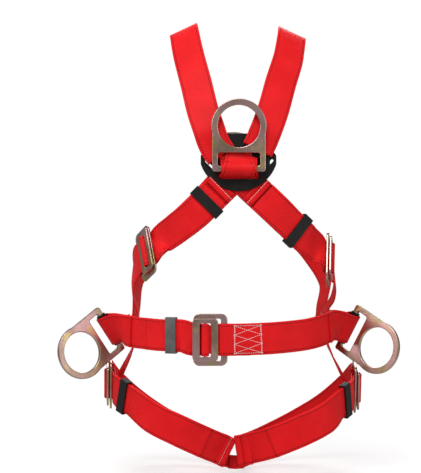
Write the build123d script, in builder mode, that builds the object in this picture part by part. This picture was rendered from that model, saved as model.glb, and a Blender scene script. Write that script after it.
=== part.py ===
"""Cross-over full-body safety harness, closed and adjusted to a standing wearer.

Millimetres, +Z up, the wearer faces -Y. The origin is on the wearer's axis,
at the mid-height of the waist belt's front.
"""
import os
from math import ceil, cos, radians, sin

from build123d import *

# Wearer that the straps are adjusted to, and the pattern that the routes are drawn on
hip_width = 330.0
torso_depth = 240.0
shoulder_height = 450.0
pattern_width = 330.0
pattern_depth = 240.0
pattern_height = 450.0

# Webbing
webbing_width = 45.0
webbing_thickness = 2.0
webbing_gap = 0.6
layer_pitch = webbing_thickness + webbing_gap
section_spacing = 18.0

# How webbing bends on its way over a buckle's bar, and where its doubled end meets it
lead_bend_start = 3.5 * webbing_thickness
lead_bend_inset = 0.8 * webbing_thickness
lead_bend_rise = 3 * webbing_thickness
tail_bend_rise = 1.6 * webbing_thickness
tail_bend_inset = 0.5 * webbing_thickness
tail_bend_lift = 0.45 * webbing_thickness
tail_bend_end = 3 * webbing_thickness
fold_merge = 4 * webbing_thickness

# Degrees between which webbing touches a chest or dorsal bar, and a side ring's sleeve
crossing_turn = (40, 165)
loop_turn = (80, 280)

# Connection rings: a round eye, a strap slot and the bar that the webbing turns round
eye_radius = 29.5
eye_rim = 9.0
ring_thickness = 5.5
slot_height = 18.5
slot_web = 7.5
ring_leg = 7.75
bar_height = 8.0
slot_side_play = 7.0
ring_corner = 3.5
ring_edge_round = 1.2
bar_clearance = 0.6
slot_width = webbing_width + 2 * slot_side_play
bar_to_slot_top = bar_height / 2 + slot_height
bar_to_eye = bar_to_slot_top + slot_web + eye_radius
bar_reach = (bar_height ** 2 + ring_thickness ** 2) ** 0.5 / 2

# Pass-through buckles
buckle_thickness = 3.0
female_width = 48.0
female_side_bar = 9.0
female_end_bar = 7.0
end_play = 7.0
male_width = 36.0
male_opening = 16.0
male_end_bar = 6.5
centre_bar = 4.5
male_play = 1.0
male_offset = 7.5
frame_gap = 1.6
buckle_corner = 3.0
buckle_edge_round = 0.9
male_tilt_clearance = 0.65
female_length = webbing_width + 2 * end_play + 2 * female_end_bar
male_length = webbing_width + 2 * male_play + 2 * male_end_bar
male_height = buckle_thickness + frame_gap

# Plates, keepers and wear sleeves
plate_thickness = 3.0
plate_edge_round = 0.8
plate_half_width = 53.0
plate_top_half_width = 30.0
plate_rise = 50.0
plate_drop = 31.0
plate_ear_rise = 19.0
plate_ear_height = 12.0
plate_slot_drop = 9.75
plate_slot_height = 8.0
ear_slot_length = 18.0
ear_slot_width = 3.5
ear_slot_inset = 11.0
keeper_wall = 2.0
keeper_edge_round = 0.6
keeper_clearance = 1.0
keeper_length = 15.0
keeper_travel = 8.0
sleeve_wall = 1.2
sleeve_length = 50.0

# Stack at the chest and at the back, from the ring inwards
strap_to_ring = ring_thickness / 2 + webbing_gap + webbing_thickness / 2
plate_to_ring = strap_to_ring + webbing_thickness / 2 + webbing_gap + layer_pitch + plate_thickness / 2


# ---------------------------------------------------------------- placing
def fitted(x, y, z):
    """Move a point of the pattern to the wearer's size."""
    return Vector(
        x * hip_width / pattern_width,
        y * torso_depth / pattern_depth,
        z * shoulder_height / pattern_height,
    )


def station(x, y, z, facing):
    """Give a pattern point of a strap and the way its outer face looks."""
    return fitted(x, y, z), Vector(*facing).normalized()


def on_plane(plane, along, out, layer_sign=1):
    """Give a point of a strap that lies along a plane's x direction."""
    return plane.from_local_coords((along, 0, out)), plane.z_dir * layer_sign


def turn(plane, along, out, radius, first, last, count=5):
    """Give the points of a strap that turns round a bar along the plane's y direction."""
    stations = []
    for step in range(count):
        angle = radians(first + (last - first) * step / (count - 1))
        radial = plane.x_dir * cos(angle) + plane.z_dir * sin(angle)
        stations.append((plane.from_local_coords((along, 0, out)) + radial * radius, radial))
    return stations


def flipped(stations):
    """Let the same points look the other way."""
    return [(point, facing * -1) for point, facing in stations]


def laid_on(stations, layers=1):
    """Lay a strap on another one, a number of layers further out."""
    return [(point + facing * layer_pitch * layers, facing) for point, facing in stations]


# ---------------------------------------------------------------- webbing
def velocities(points):
    """Give the direction of travel at each point, weighted by the spacing."""
    result = []
    for index, point in enumerate(points):
        if index == 0:
            result.append((points[1] - point).normalized())
        elif index == len(points) - 1:
            result.append((point - points[-2]).normalized())
        else:
            back = point - points[index - 1]
            ahead = points[index + 1] - point
            blend = ahead * (back.length / ahead.length) + back * (ahead.length / back.length)
            result.append(blend * (1 / (back.length + ahead.length)))
    return result


def smooth(stations):
    """Fill a route with points on a smooth curve through its stations."""
    points = [point for point, _ in stations]
    speeds = velocities(points)
    route = []
    for index in range(len(stations) - 1):
        start, start_facing = stations[index]
        end, end_facing = stations[index + 1]
        span = (end - start).length
        steps = max(1, ceil(span / section_spacing))
        for step in range(steps):
            t = step / steps
            point = start * (2 * t ** 3 - 3 * t ** 2 + 1)
            point += speeds[index] * (span * (t ** 3 - 2 * t ** 2 + t))
            point += end * (3 * t ** 2 - 2 * t ** 3)
            point += speeds[index + 1] * (span * (t ** 3 - t ** 2))
            route.append((point, start_facing * (1 - t) + end_facing * t))
    route.append(stations[-1])
    return route


def section_planes(stations):
    """Give the plane of the webbing's section at each point of its smooth route."""
    route = smooth(stations)
    speeds = velocities([point for point, _ in route])
    planes = []
    for (point, facing), speed in zip(route, speeds):
        travel = speed.normalized()
        outward = facing - travel * facing.dot(travel)
        planes.append(Plane(origin=point, x_dir=travel.cross(outward), z_dir=travel))
    return planes


def make_strap(stations, width=webbing_width):
    """Make a strap of webbing along a route."""
    with BuildPart() as strap:
        for plane in section_planes(stations):
            with BuildSketch(plane):
                Rectangle(width, webbing_thickness)
        loft(ruled=True)
    return strap.part


# ---------------------------------------------------------------- hardware
def flat_edges(solid, plane):
    """Give the edges round the flat faces that a plate shows on both its sides."""
    return solid.faces().filter_by(Axis(plane.origin, plane.z_dir)).edges()


def make_ring(bar):
    """Make a connection ring: plane x runs along the bar, plane y points to the eye."""
    rim_radius = eye_radius + eye_rim
    half_width = slot_width / 2 + ring_leg
    shoulder = bar_to_eye - max(rim_radius ** 2 - half_width ** 2, 0) ** 0.5
    with BuildPart() as ring:
        with BuildSketch(bar):
            with Locations((0, bar_to_eye)):
                Circle(rim_radius)
            with Locations((0, (shoulder - bar_height / 2) / 2)):
                Rectangle(2 * half_width, shoulder + bar_height / 2)
        extrude(amount=ring_thickness / 2, both=True)
        fillet(ring.edges().filter_by(Axis(bar.origin, bar.z_dir)).group_by(bar_distance(bar))[0], ring_corner)
        with BuildSketch(bar):
            with Locations((0, bar_to_eye)):
                Circle(eye_radius)
            with Locations((0, (bar_height / 2 + bar_to_slot_top) / 2)):
                RectangleRounded(slot_width, slot_height, ring_corner)
        extrude(amount=ring_thickness, both=True, mode=Mode.SUBTRACT)
        fillet(flat_edges(ring, bar), min(ring_edge_round, ring_thickness / 3))
    return ring.part


def bar_distance(bar):
    """Sort edges by their height above a ring's bar."""
    return lambda edge: round(bar.to_local_coords(edge.center()).Y, 3)


def make_female_frame(frame):
    """Make the large frame of a pass-through buckle; plane y runs along its side bars."""
    opening_width = female_width - 2 * female_side_bar
    opening_length = female_length - 2 * female_end_bar
    with BuildPart() as body:
        with BuildSketch(frame):
            RectangleRounded(female_width, female_length, 3 * buckle_corner)
            RectangleRounded(opening_width, opening_length, buckle_corner, mode=Mode.SUBTRACT)
        extrude(amount=buckle_thickness / 2, both=True)
        fillet(flat_edges(body, frame), min(buckle_edge_round, buckle_thickness / 3))
    return body.part


def make_male_frame(frame):
    """Make the small frame of a pass-through buckle, with its centre bar."""
    opening_length = male_length - 2 * male_end_bar
    with BuildPart() as body:
        with BuildSketch(male_plane(frame)):
            RectangleRounded(male_width, male_length, 2 * buckle_corner)
            RectangleRounded(male_opening, opening_length, buckle_corner, mode=Mode.SUBTRACT)
            Rectangle(centre_bar, opening_length + male_end_bar)
        extrude(amount=buckle_thickness / 2, both=True)
        fillet(flat_edges(body, frame), min(buckle_edge_round, buckle_thickness / 3))
    return body.part


def male_plane(frame):
    """Give the plane of the small frame, centred on its bar, in front of the large one."""
    centre = frame.from_local_coords((-male_offset, 0, male_height))
    return Plane(origin=centre, x_dir=frame.x_dir, z_dir=frame.z_dir)


def make_keeper(place):
    """Make a keeper: a flat tube that slides along two layers of webbing (plane x)."""
    inner_height = layer_pitch + webbing_thickness + 2 * keeper_clearance
    inner_width = webbing_width + 2 * keeper_clearance
    with BuildPart() as keeper:
        with BuildSketch(Plane(origin=place.origin, x_dir=place.y_dir, z_dir=place.x_dir)):
            Rectangle(inner_width + 2 * keeper_wall, inner_height + 2 * keeper_wall)
            Rectangle(inner_width, inner_height, mode=Mode.SUBTRACT)
        extrude(amount=keeper_length / 2, both=True)
        long_edges = keeper.edges().filter_by(Axis(place.origin, place.x_dir))
        outer_edges = long_edges.sort_by_distance(place.origin)[-4:]
        fillet(outer_edges, min(2 * keeper_edge_round, keeper_wall / 2))
    return keeper.part


def make_sleeve(bar):
    """Make the wear sleeve round a side ring's bar."""
    inner_radius = bar_reach + bar_clearance
    with BuildPart() as sleeve:
        with BuildSketch(Plane(origin=bar.origin, x_dir=bar.z_dir, z_dir=bar.x_dir)):
            Circle(inner_radius + sleeve_wall)
            Circle(inner_radius, mode=Mode.SUBTRACT)
        extrude(amount=sleeve_length / 2, both=True)
    return sleeve.part


def make_plate(bar):
    """Make the plate behind a ring, where the shoulder straps cross."""
    back = bar.offset(-plate_to_ring)
    ear_top = plate_ear_rise
    ear_bottom = plate_ear_rise - plate_ear_height
    with BuildPart() as plate:
        with BuildSketch(back):
            with BuildLine():
                Polyline(
                    (-plate_half_width, ear_bottom),
                    (-plate_half_width, ear_top),
                    (-plate_top_half_width, plate_rise),
                    (plate_top_half_width, plate_rise),
                    (plate_half_width, ear_top),
                    (plate_half_width, ear_bottom),
                )
                ThreePointArc(
                    (plate_half_width, ear_bottom),
                    (0, -plate_drop),
                    (-plate_half_width, ear_bottom),
                )
            make_face()
            with Locations((0, -plate_slot_drop)):
                RectangleRounded(slot_width, plate_slot_height, buckle_corner, mode=Mode.SUBTRACT)
            for side in (-1, 1):
                with Locations(Location((side * (plate_half_width - ear_slot_inset), ear_bottom), side * 45)):
                    SlotOverall(ear_slot_length, ear_slot_width, mode=Mode.SUBTRACT)
        extrude(amount=plate_thickness / 2, both=True)
        fillet(flat_edges(plate, bar), min(plate_edge_round, plate_thickness / 3))
    return plate.part


# ---------------------------------------------------------------- places on the wearer
def upright(x, y, z, facing):
    """Give a plane whose y direction is +Z, at a pattern point, looking along facing."""
    outward = Vector(*facing).normalized()
    return Plane(origin=fitted(x, y, z), x_dir=Vector(0, 0, 1).cross(outward), z_dir=outward)


def hung(x, y, z, along, outward):
    """Give a plane at a pattern point from its x direction and roughly its outward one."""
    x_dir = Vector(*along).normalized()
    facing = Vector(*outward)
    z_dir = (facing - x_dir * facing.dot(x_dir)).normalized()
    return Plane(origin=fitted(x, y, z), x_dir=x_dir, z_dir=z_dir)


def ring_plane(x, y, z, along, to_eye):
    """Give a ring's plane from the direction of its bar and the way to its eye."""
    x_dir = Vector(*along).normalized()
    reach = Vector(*to_eye)
    y_dir = (reach - x_dir * reach.dot(x_dir)).normalized()
    return Plane(origin=fitted(x, y, z), x_dir=x_dir, z_dir=x_dir.cross(y_dir))


dorsal_lean = 50.0

chest_bar = upright(0, -131, 239.25, (0, -1, 0))
dorsal_seat = upright(10, 131, 251, (0, 1, 0))
dorsal_bar = ring_plane(
    10, 131, 251, (-1, 0, 0), (0, sin(radians(dorsal_lean)), cos(radians(dorsal_lean)))
)
left_ring_bar = ring_plane(-184, -16, 9, (0.521, 0.184, -0.833), (-0.66, -0.53, -0.53))
right_ring_bar = ring_plane(169, -10, 10.4, (0.415, -0.226, 0.882), (0.617, -0.642, -0.455))

belt_frame = hung(-39.5, -121, 0.5, (1, 0.05, 0), (-0.12, -1, 0))
left_torso_frame = hung(-130, -70, 120.6, (-0.387, 0.83, -0.40), (-0.906, -0.423, 0))
right_torso_frame = hung(132.8, -62, 111, (0.16, 0.91, -0.38), (0.985, -0.174, 0))
left_leg_frame = hung(-183, 6, -70, (-0.05, 0.96, 0.28), (-1, -0.05, 0))
right_leg_frame = hung(180, 6, -78, (0.05, 0.96, 0.28), (1, -0.05, 0))

# Each keeper rides on two layers of webbing; its plane lies between them
belt_keeper_place = hung(-94, -107.5, 6, (1, -0.33, 0), (-0.35, -1, 0))
left_chest_place = hung(-44.6, -120.3, 192.6, (0.70, 0.05, 0.70), (-0.12, -1, 0))
right_chest_place = hung(84, -110, 153, (-0.707, -0.265, 0.654), (0.40, -1, 0))
left_leg_place = hung(-162, -50, -86, (0.62, -0.70, -0.33), (-0.75, -0.65, -0.10))
right_leg_place = hung(160, -50, -93, (-0.585, -0.757, -0.287), (0.75, -0.65, -0.10))


# ---------------------------------------------------------------- stretches of webbing
under_layer = -(buckle_thickness / 2 + webbing_gap + webbing_thickness / 2)
lead_layer = under_layer - layer_pitch


def threaded(frame):
    """Take webbing in under a buckle, over the small frame's bar and back out on itself."""
    bar = male_plane(frame)
    bar_turn = (centre_bar ** 2 + buckle_thickness ** 2) ** 0.5 / 2 + male_tilt_clearance
    bar_turn += webbing_thickness / 2
    edge = -female_width / 2
    inner = -male_offset + bar_turn
    outer = -male_offset - bar_turn
    lead = [
        on_plane(frame, edge, lead_layer, -1),
        on_plane(frame, inner - lead_bend_start, lead_layer, -1),
        turn_point(frame, inner - lead_bend_inset, lead_layer + webbing_thickness, -45),
        turn_point(frame, inner, lead_layer + lead_bend_rise, 0),
    ]
    tail = [
        turn_point(frame, outer, under_layer + tail_bend_rise, 180),
        turn_point(frame, outer - tail_bend_inset, under_layer + tail_bend_lift, 125),
        on_plane(frame, outer - tail_bend_end, under_layer),
        on_plane(frame, edge, under_layer),
    ]
    return lead + turn(bar, 0, 0, bar_turn, 0, 180) + tail


def turn_point(plane, along, out, angle):
    """Give one point of a bend in a plane's x-z section, facing at an angle from x."""
    facing = plane.x_dir * cos(radians(angle)) + plane.z_dir * sin(radians(angle))
    return plane.from_local_coords((along, 0, out)), facing


def sewn(frame, doubled_length):
    """Fold webbing round the large frame's far bar; the outer layer comes first."""
    bar_side = female_width / 2 - female_side_bar
    edge = female_width / 2
    merge = edge + fold_merge
    fold = -under_layer
    return [
        on_plane(frame, merge, layer_pitch / 2),
        on_plane(frame, edge + webbing_thickness, fold),
        *turn(frame, bar_side, 0, fold, 90, 270),
        on_plane(frame, edge + webbing_thickness, -fold, -1),
        on_plane(frame, merge, -layer_pitch / 2, -1),
        on_plane(frame, merge + doubled_length, -layer_pitch / 2, -1),
    ]


def kept(place, layer=0):
    """Give the straight stretch of webbing that a keeper slides on; layer 1 is the tail."""
    reach = keeper_length / 2 + keeper_travel + webbing_gap
    out = (layer - 0.5) * layer_pitch
    return [on_plane(place, -reach, out), on_plane(place, 0, out), on_plane(place, reach, out)]


def wrapped(seat, reach):
    """Take crossed webbing from behind a ring, over its bar and into the plate's slot."""
    side = seat_side(seat)
    radius = bar_reach + bar_clearance + webbing_thickness / 2
    behind = -strap_to_ring
    return [
        on_plane(side, reach, behind),
        on_plane(side, 2 * radius - webbing_gap, behind + webbing_gap),
        *turn(side, 0, 0, radius, *crossing_turn),
        turn_point(side, -plate_slot_drop, -plate_to_ring, 180),
    ]


def seat_side(seat):
    """Give a ring seat's plane turned so that x points up and y lies along the bar."""
    return Plane(origin=seat.origin, x_dir=seat.y_dir, z_dir=seat.z_dir)


def ring_loop(bar, leg_direction, landing):
    """Fold a loop of webbing round a side ring's sleeve and lay both ends on the belt."""
    leg = Vector(*leg_direction)
    leg = (leg - bar.x_dir * leg.dot(bar.x_dir)).normalized()
    side = Plane(origin=bar.origin, x_dir=leg, z_dir=leg.cross(bar.x_dir))
    radius = bar_reach + bar_clearance + sleeve_wall + bar_clearance + webbing_thickness / 2
    neck = 2 * radius
    inner = [(point - facing * layer_pitch, facing) for point, facing in landing]
    outer = [(point + facing * layer_pitch, facing) for point, facing in landing]
    face = 1 if side.z_dir.dot(landing[0][1]) > 0 else -1
    throat = layer_pitch / 2 + webbing_thickness
    return (
        flipped(reversed_route(inner))
        + [on_plane(side, neck, -face * throat, -face)]
        + turn(side, 0, 0, radius, *(-face * angle for angle in loop_turn), 7)
        + [on_plane(side, neck, face * throat, face)]
        + outer
    )


def reversed_route(stations):
    """Walk a route from its other end."""
    return list(reversed(stations))


# ---------------------------------------------------------------- routes
def shoulder_route(front, crest, back):
    """Join a shoulder strap's front and back stretches over the shoulder."""
    return front + crest + reversed_route(back)


left_shoulder_route = shoulder_route(
    [
        station(-31, -126, 268, (-0.05, -1, 0.05)),
        station(-36, -125.5, 278, (-0.06, -1, 0.05)),
        station(-41, -124.3, 293, (-0.08, -1, 0.15)),
        station(-49, -114, 318.6, (-0.15, -1, 0.35)),
        station(-58, -92, 359.4, (-0.20, -1, 0.45)),
        station(-69, -55, 409, (-0.30, -0.85, 0.60)),
    ],
    [station(-75, -5, 451, (-0.42, 0, 0.90))],
    [
        station(-20, 126, 284, (0, 1, 0.05)),
        station(-25, 125.5, 296, (-0.03, 1, 0.05)),
        station(-30, 124.3, 308, (-0.05, 1, 0.15)),
        station(-42, 114, 338, (-0.15, 1, 0.30)),
        station(-53, 95, 379, (-0.20, 1, 0.45)),
        station(-67, 50, 422.5, (-0.30, 0.75, 0.70)),
    ],
)
right_shoulder_route = shoulder_route(
    [
        station(26, -126, 266, (0.05, -1, 0.05)),
        station(31, -125.5, 276, (0.06, -1, 0.05)),
        station(38, -124.3, 293, (0.08, -1, 0.15)),
        station(48, -114, 319, (0.15, -1, 0.35)),
        station(62, -90, 364, (0.20, -1, 0.45)),
        station(75.6, -55, 402, (0.30, -0.85, 0.60)),
    ],
    [station(86, -5, 447, (0.42, 0, 0.90))],
    [
        station(41, 126, 280, (0, 1, 0.05)),
        station(46, 125.5, 292, (0.03, 1, 0.05)),
        station(52, 124.3, 308, (0.05, 1, 0.15)),
        station(66, 114, 339, (0.15, 1, 0.30)),
        station(78, 95, 384, (0.20, 1, 0.45)),
        station(85, 50, 413.4, (0.30, 0.75, 0.70)),
    ],
)

# Chest straps: from behind the chest plate to the torso buckles, on the main layer
left_chest_path = [
    station(-19, -117.4, 218, (-0.05, -1, 0)),
    *kept(left_chest_place)[::-1],
    station(-88, -103, 155, (-0.45, -1, 0.05)),
    station(-108, -87, 139, (-0.70, -0.75, 0.05)),
]
right_chest_path = [
    station(20, -117.4, 213, (0.05, -1, 0)),
    station(33, -117.6, 201, (0.06, -1, 0)),
    station(52, -118.6, 183, (0.15, -1, 0)),
    *kept(right_chest_place)[::-1],
    station(114, -87, 128, (0.75, -0.65, 0.05)),
]

# The belt, from the side rings to the buckle
left_landing = [
    station(-156.5, -50, 9, (-0.90, -0.42, 0)),
    station(-150, -64, 8, (-0.85, -0.52, 0)),
]
right_landing = [
    station(140.5, -46, 15.5, (0.92, -0.38, 0)),
    station(134, -61, 13, (0.85, -0.52, 0)),
]
belt_left_path = [
    *left_landing,
    station(-128, -88, 7, (-0.60, -0.80, 0)),
    *kept(belt_keeper_place),
]
belt_right_path = [
    *right_landing,
    station(105, -93, 7, (0.60, -0.80, 0)),
    station(60, -114, 3, (0.25, -1, 0)),
]
belt_back_route = [
    station(-156, 2, 8, (-0.98, 0.10, 0)),
    station(-158, 45, 2, (-0.92, 0.38, 0)),
    station(-128, 88, -6, (-0.60, 0.80, 0)),
    station(-70, 112, -14, (-0.25, 1, 0)),
    station(0, 119, -17, (0, 1, 0)),
    station(70, 112, -14, (0.25, 1, 0)),
    station(122, 88, -4, (0.60, 0.80, 0)),
    station(149, 45, 8, (0.92, 0.38, 0)),
    station(142, 4, 16, (0.98, 0.05, 0)),
]

# Side straps: from the torso buckles down inside the belt
left_side_path = [
    station(-147, -28, 92, (-0.99, -0.10, 0.05)),
    station(-150, -16, 62, (-0.99, -0.05, 0)),
    station(-142, -8, 30, (-1, 0, 0)),
    station(-145, -5, 0, (-1, 0, 0)),
    station(-152, -1, -25, (-0.97, 0, 0.20)),
    station(-163, 10, -50, (-0.97, 0, 0.20)),
    station(-173, 26, -70, (-0.97, 0, 0.20)),
]
right_side_path = [
    station(147, -22, 84, (0.99, -0.10, 0.05)),
    station(146, -12, 56, (0.99, -0.05, 0)),
    station(132, -8, 28, (1, 0, 0)),
    station(134, -5, 0, (1, 0, 0)),
    station(143, -1, -25, (0.97, 0, 0.20)),
    station(157, 10, -53, (0.97, 0, 0.20)),
    station(170, 26, -76, (0.97, 0, 0.20)),
]

# Back straps: from behind the dorsal plate down to the hips, inside the belt
left_back_route = [
    station(-12, 117.4, 232, (0, 1, 0)),
    station(-28, 117.2, 214, (0, 1, 0)),
    station(-43, 115, 198, (-0.15, 1, 0)),
    station(-80, 106, 163, (-0.40, 1, 0)),
    station(-116, 84, 132, (-0.75, 0.75, 0)),
    station(-142, 52, 82, (-0.95, 0.30, 0)),
    station(-146, 40, 30, (-0.98, 0.20, 0)),
    station(-149, 42, 0, (-0.95, 0.30, 0)),
]
right_back_route = [
    station(32, 117.4, 230, (0, 1, 0)),
    station(48, 117.2, 213, (0, 1, 0)),
    station(66, 114, 196, (0.15, 1, 0)),
    station(100, 104, 158, (0.40, 1, 0)),
    station(124, 84, 126, (0.75, 0.75, 0)),
    station(142, 52, 78, (0.95, 0.30, 0)),
    station(134, 40, 30, (0.98, 0.20, 0)),
    station(134, 42, 4, (0.95, 0.30, 0)),
]

# Leg straps: from the crotch over the front of the thigh to the leg buckles
left_leg_path = [
    station(-17, -60, -164, (0, -1, 0)),
    station(-44, -80, -150, (0, -1, 0.05)),
    station(-82, -90, -131, (-0.12, -1, 0)),
    station(-120, -82, -113, (-0.45, -0.90, 0)),
    *kept(left_leg_place)[::-1],
]
right_leg_path = [
    station(15, -60, -162, (0, -1, 0)),
    station(49, -80, -150, (0, -1, 0.05)),
    station(92, -90, -131, (0.12, -1, 0)),
    station(128, -82, -114, (0.45, -0.90, 0)),
    *kept(right_leg_place)[::-1],
]
left_thigh_path = [
    station(-176, 62, -80, (-0.85, 0.52, 0)),
    station(-148, 88, -112, (-0.50, 0.85, 0)),
    station(-100, 97, -146, (-0.15, 1, 0)),
    station(-50, 80, -168, (0, 1, 0)),
    station(-13, 45, -178, (0, 1, 0)),
]
right_thigh_path = [
    station(174, 64, -88, (0.85, 0.52, 0)),
    station(148, 88, -118, (0.50, 0.85, 0)),
    station(105, 97, -146, (0.15, 1, 0)),
    station(55, 80, -168, (0, 1, 0)),
    station(17, 45, -178, (0, 1, 0)),
]
crotch_link_route = [
    station(-30, -52, -166, (0, 1, 0)),
    station(0, -50, -170, (0, 1, 0)),
    station(30, -52, -166, (0, 1, 0)),
]


# ---------------------------------------------------------------- straps with a buckle
def adjusted(path, frame, tail_from):
    """Thread a path's webbing through a buckle and lay its tail back along the path."""
    tail = reversed_route(laid_on(path[tail_from:]))
    return flipped(path) + threaded(frame) + tail


def fixed(path, frame, doubled_length):
    """Take a path's webbing to a buckle's far bar and sew its end back on itself."""
    return path + sewn(frame, doubled_length)


def parts_at(label, frame):
    """Make a buckle's two frames, with their node names."""
    return {
        f"{label}_buckle_female": make_female_frame(frame),
        f"{label}_buckle_male": make_male_frame(frame),
    }


hardware = {
    "chest_ring": make_ring(chest_bar),
    "dorsal_ring": make_ring(dorsal_bar),
    "left_side_ring": make_ring(left_ring_bar),
    "right_side_ring": make_ring(right_ring_bar),
    **parts_at("belt", belt_frame),
    **parts_at("left_torso", left_torso_frame),
    **parts_at("right_torso", right_torso_frame),
    **parts_at("left_leg", left_leg_frame),
    **parts_at("right_leg", right_leg_frame),
    "chest_plate": make_plate(chest_bar),
    "dorsal_plate": make_plate(dorsal_seat),
    "belt_keeper": make_keeper(belt_keeper_place),
    "left_torso_keeper": make_keeper(left_chest_place),
    "right_torso_keeper": make_keeper(right_chest_place),
    "left_leg_keeper": make_keeper(left_leg_place),
    "right_leg_keeper": make_keeper(right_leg_place),
    "left_ring_sleeve": make_sleeve(left_ring_bar),
    "right_ring_sleeve": make_sleeve(right_ring_bar),
}
crossing_reach = 21.0
belt_doubled = 24.0
strap_doubled = 4.0
webbing = {
    "left_shoulder_strap": make_strap(left_shoulder_route),
    "right_shoulder_strap": make_strap(right_shoulder_route),
    "chest_crossing_webbing": make_strap(wrapped(chest_bar, crossing_reach)),
    "dorsal_crossing_webbing": make_strap(wrapped(dorsal_seat, crossing_reach)),
    "left_chest_strap": make_strap(adjusted(left_chest_path, left_torso_frame, 1)),
    "right_chest_strap": make_strap(adjusted(right_chest_path, right_torso_frame, 1)),
    "left_side_strap": make_strap(fixed(reversed_route(left_side_path), left_torso_frame, strap_doubled)),
    "right_side_strap": make_strap(fixed(reversed_route(right_side_path), right_torso_frame, strap_doubled)),
    "left_back_strap": make_strap(left_back_route),
    "right_back_strap": make_strap(right_back_route),
    "belt_left": make_strap(adjusted(belt_left_path, belt_frame, 2)),
    "belt_right": make_strap(fixed(belt_right_path, belt_frame, belt_doubled)),
    "belt_back": make_strap(belt_back_route),
    "left_ring_loop": make_strap(ring_loop(left_ring_bar, (22, -24, 2), left_landing)),
    "right_ring_loop": make_strap(ring_loop(right_ring_bar, (-24, -26, 6), right_landing)),
    "left_leg_strap": make_strap(adjusted(left_leg_path, left_leg_frame, 1)),
    "right_leg_strap": make_strap(adjusted(right_leg_path, right_leg_frame, 1)),
    "left_thigh_strap": make_strap(fixed(reversed_route(left_thigh_path), left_leg_frame, strap_doubled)),
    "right_thigh_strap": make_strap(fixed(reversed_route(right_thigh_path), right_leg_frame, strap_doubled)),
    "crotch_link": make_strap(crotch_link_route),
}

os.makedirs("parts", exist_ok=True)
for name, solid in {**hardware, **webbing}.items():
    solid.label = name
    export_step(solid, f"parts/{name}.step")
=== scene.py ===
"""Looks of a cross-over full-body safety harness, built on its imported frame.

Metres, +Z up, the wearer faces -Y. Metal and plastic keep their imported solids
and get procedural finishes. Every strap of webbing is made here as a woven
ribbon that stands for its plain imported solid.
"""

import logging
import math
from dataclasses import dataclass, field
from enum import Enum
from typing import Callable, Optional, Sequence, Union

import bpy
from mathutils import Matrix, Vector, noise


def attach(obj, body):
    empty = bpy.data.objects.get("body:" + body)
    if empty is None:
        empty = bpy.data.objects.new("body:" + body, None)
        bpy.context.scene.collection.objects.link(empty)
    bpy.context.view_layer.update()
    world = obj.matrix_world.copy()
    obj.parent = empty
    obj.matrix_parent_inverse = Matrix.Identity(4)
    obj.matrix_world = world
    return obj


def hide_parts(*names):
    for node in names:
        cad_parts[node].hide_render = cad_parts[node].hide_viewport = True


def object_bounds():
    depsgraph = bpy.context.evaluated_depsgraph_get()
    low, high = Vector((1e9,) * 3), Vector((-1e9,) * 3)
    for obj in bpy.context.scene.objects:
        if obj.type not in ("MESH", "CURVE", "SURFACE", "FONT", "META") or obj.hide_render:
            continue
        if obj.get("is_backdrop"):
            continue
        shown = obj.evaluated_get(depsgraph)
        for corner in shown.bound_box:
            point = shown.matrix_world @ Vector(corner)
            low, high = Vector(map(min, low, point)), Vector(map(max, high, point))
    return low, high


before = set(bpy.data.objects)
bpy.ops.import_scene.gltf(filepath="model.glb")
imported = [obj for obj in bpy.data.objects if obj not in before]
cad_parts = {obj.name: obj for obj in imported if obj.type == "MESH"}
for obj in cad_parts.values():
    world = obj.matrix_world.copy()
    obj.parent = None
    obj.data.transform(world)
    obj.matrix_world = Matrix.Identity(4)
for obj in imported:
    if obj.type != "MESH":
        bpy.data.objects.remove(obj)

LOG = logging.getLogger("harness")
MM = 0.001
FIXED_BODY = "webbing"


# --------------------------------------------------------------------------- sizes
@dataclass(frozen=True)
class WebbingSize:
    """Sizes of the woven webbing.

    Args:
        width: width of a strap.
        thickness: thickness of a strap.
        gap: air between two straps that lie on each other.
        seam_inset: distance of the dark edge seams from a strap's edge.
    """

    width: float = 45 * MM
    thickness: float = 2 * MM
    gap: float = 0.6 * MM
    seam_inset: float = 3.4 * MM

    @property
    def pitch(self) -> float:
        """Distance between the middles of two straps on each other."""
        return self.thickness + self.gap


@dataclass(frozen=True)
class RingSize:
    """Sizes of a connection ring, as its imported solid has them."""

    eye_radius: float = 29.5 * MM
    thickness: float = 5.5 * MM
    slot_height: float = 18.5 * MM
    slot_web: float = 7.5 * MM
    bar_height: float = 8 * MM
    clearance: float = 0.6 * MM
    sleeve_wall: float = 1.2 * MM

    @property
    def bar_reach(self) -> float:
        """Half the diagonal of the bar's section."""
        return math.hypot(self.bar_height, self.thickness) / 2


@dataclass(frozen=True)
class BuckleSize:
    """Sizes of a pass-through buckle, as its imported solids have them."""

    thickness: float = 3 * MM
    female_width: float = 48 * MM
    side_bar: float = 9 * MM
    centre_bar: float = 4.5 * MM
    male_offset: float = 7.5 * MM
    frame_gap: float = 1.6 * MM
    turn_clearance: float = 0.65 * MM

    @property
    def male_height(self) -> float:
        """Height of the small frame's middle over the large frame's middle."""
        return self.thickness + self.frame_gap


@dataclass(frozen=True)
class PlateSize:
    """Sizes of the plate behind a ring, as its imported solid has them."""

    thickness: float = 3 * MM
    slot_drop: float = 9.75 * MM


WEBBING = WebbingSize()
RING = RingSize()
BUCKLE = BuckleSize()
PLATE = PlateSize()
STRAP_TO_RING = RING.thickness / 2 + WEBBING.gap + WEBBING.thickness / 2
PLATE_TO_RING = (
    STRAP_TO_RING + WEBBING.thickness / 2 + WEBBING.gap + WEBBING.pitch + PLATE.thickness / 2
)
UNDER_LAYER = -(BUCKLE.thickness / 2 + WEBBING.gap + WEBBING.thickness / 2)
LEAD_LAYER = UNDER_LAYER - WEBBING.pitch
KEEPER_REACH = 16.1 * MM


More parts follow.
